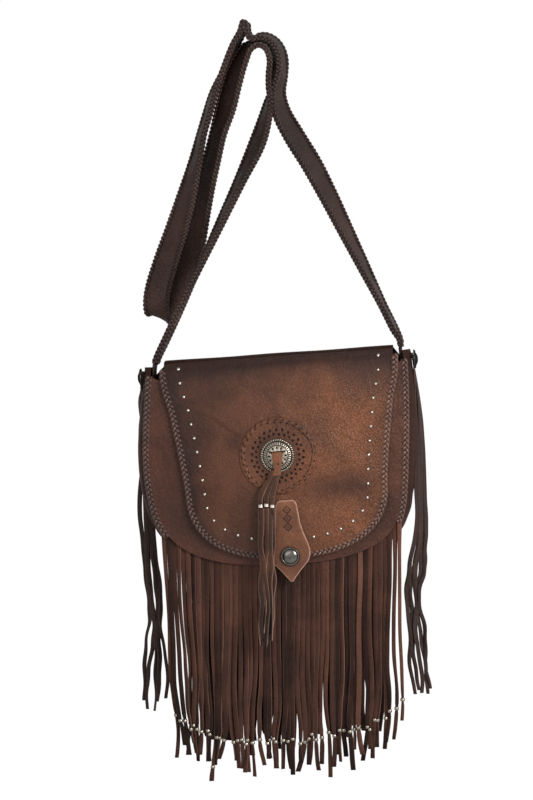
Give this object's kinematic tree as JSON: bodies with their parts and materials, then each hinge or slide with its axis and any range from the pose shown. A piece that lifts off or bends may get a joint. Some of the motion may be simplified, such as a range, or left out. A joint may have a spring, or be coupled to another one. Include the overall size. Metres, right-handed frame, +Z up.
{
  "type": "fringed leather shoulder bag",
  "caption": "Fringed leather shoulder bag with a laced flap, concho, tassels and snap tab, hanging by its doubled strap.",
  "frame": {"origin": "underside of the strap's arch, where a hook holds it up", "axes": "+Z up; the flap and its concho face -Y; +X is to the right seen from the front"},
  "size_m": [0.3159, 0.0842, 0.794],
  "materials": {
    "hide": "pebbled, warm brown",
    "dark_hide": "matt, dark brown",
    "strap_leather": "satin, near black brown",
    "lace": "satin lace, brown",
    "fringe_leather": "soft, brown",
    "tab_leather": "smooth, tan brown with pale cut edges",
    "silver": "antiqued silver plate",
    "nickel": "dark nickel plate"
  },
  "bodies": {
    "bag": {"strap": "strap_leather", "back_panel": "dark_hide", "front_panel": "hide", "gusset": "dark_hide", "front_lacing_left": "lace", "front_lacing_right": "lace", "back_lacing_left": "lace", "back_lacing_right": "lace", "side_concho_left": "nickel", "side_concho_right": "nickel", "side_screw_left": "nickel", "side_screw_right": "nickel", "left_tassel": "fringe_leather", "right_tassel": "fringe_leather", "front_fringe": "fringe_leather", "back_fringe": "fringe_leather", "snap_stud": "nickel"},
    "flap": {"flap": "hide", "flap_lacing_left": "lace", "flap_lacing_right": "lace", "rosette": "hide", "concho": "silver", "centre_tassel": "tab_leather", "crimp_1": "silver", "crimp_2": "silver", "crimp_3": "silver", "closure_tab": "tab_leather", "snap_cap": "nickel", "snap_socket": "nickel", "stud_left_1": "silver", "stud_left_2": "silver", "stud_left_3": "silver", "stud_left_4": "silver", "stud_left_5": "silver", "stud_left_6": "silver", "stud_left_7": "silver", "stud_left_8": "silver", "stud_left_9": "silver", "stud_left_10": "silver", "stud_left_11": "silver", "stud_left_12": "silver", "stud_left_13": "silver", "stud_left_14": "silver", "stud_left_15": "silver", "stud_right_1": "silver", "stud_right_2": "silver", "stud_right_3": "silver", "stud_right_4": "silver", "stud_right_5": "silver", "stud_right_6": "silver", "stud_right_7": "silver", "stud_right_8": "silver", "stud_right_9": "silver", "stud_right_10": "silver", "stud_right_11": "silver", "stud_right_12": "silver", "stud_right_13": "silver", "stud_right_14": "silver", "stud_right_15": "silver", "stud_right_16": "silver"}
  },
  "joints": [
    {"name": "flap_hinge", "type": "hinge", "parent": "bag", "child": "flap", "pos_m": [0.02185, -0.0201, -0.32579], "axis": [-0.9976, 0, -0.0698], "range_deg": [0, 150]}
  ]
}
